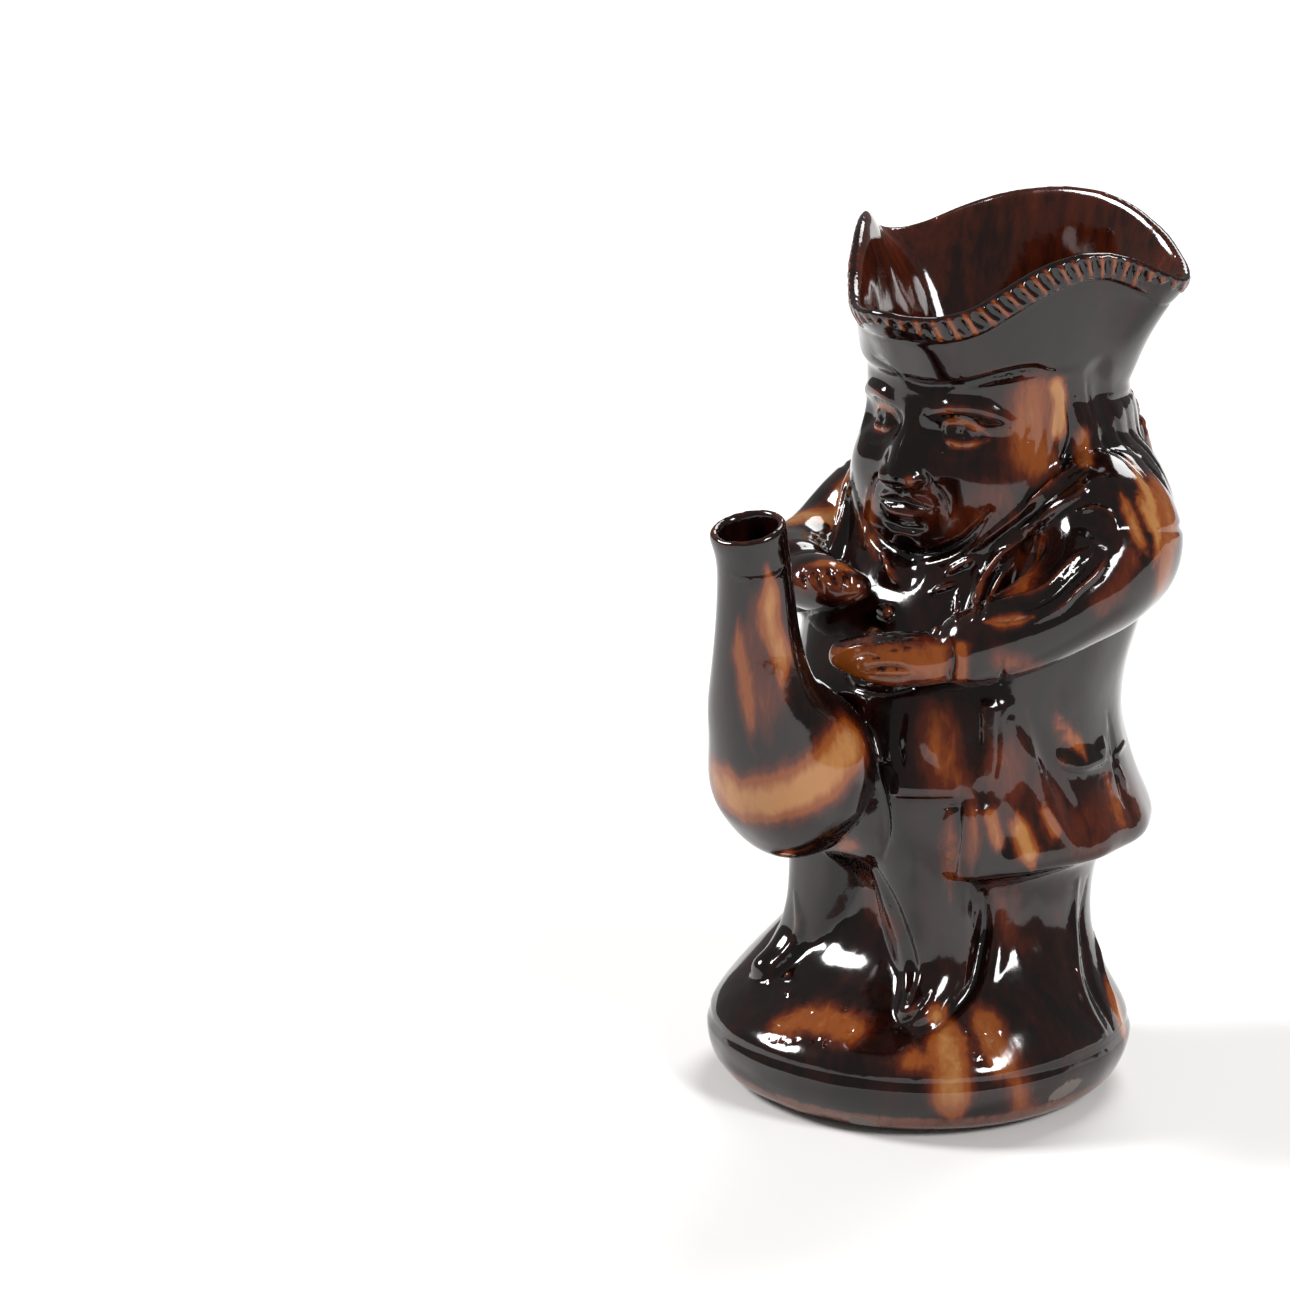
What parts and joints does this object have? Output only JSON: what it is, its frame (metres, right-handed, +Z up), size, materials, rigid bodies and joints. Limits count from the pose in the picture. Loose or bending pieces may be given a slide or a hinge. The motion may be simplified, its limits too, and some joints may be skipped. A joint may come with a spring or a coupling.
{
  "type": "toby jug",
  "caption": "Hollow glazed earthenware toby jug: a stout standing man in a three-cornered hat, with a tall pouring spout in front and a loop handle behind.",
  "frame": {"origin": "middle of the flat underside of the round base", "axes": "+Z up along the figure's height, the figure faces -Y towards the spout, the handle is at +Y, the figure's left side is +X"},
  "size_m": [0.1258, 0.1819, 0.2394],
  "materials": {
    "glaze": "thick glossy dark brown glaze with amber and tan streaks"
  },
  "bodies": {
    "root": {"jug": "glaze"}
  },
  "joints": []
}
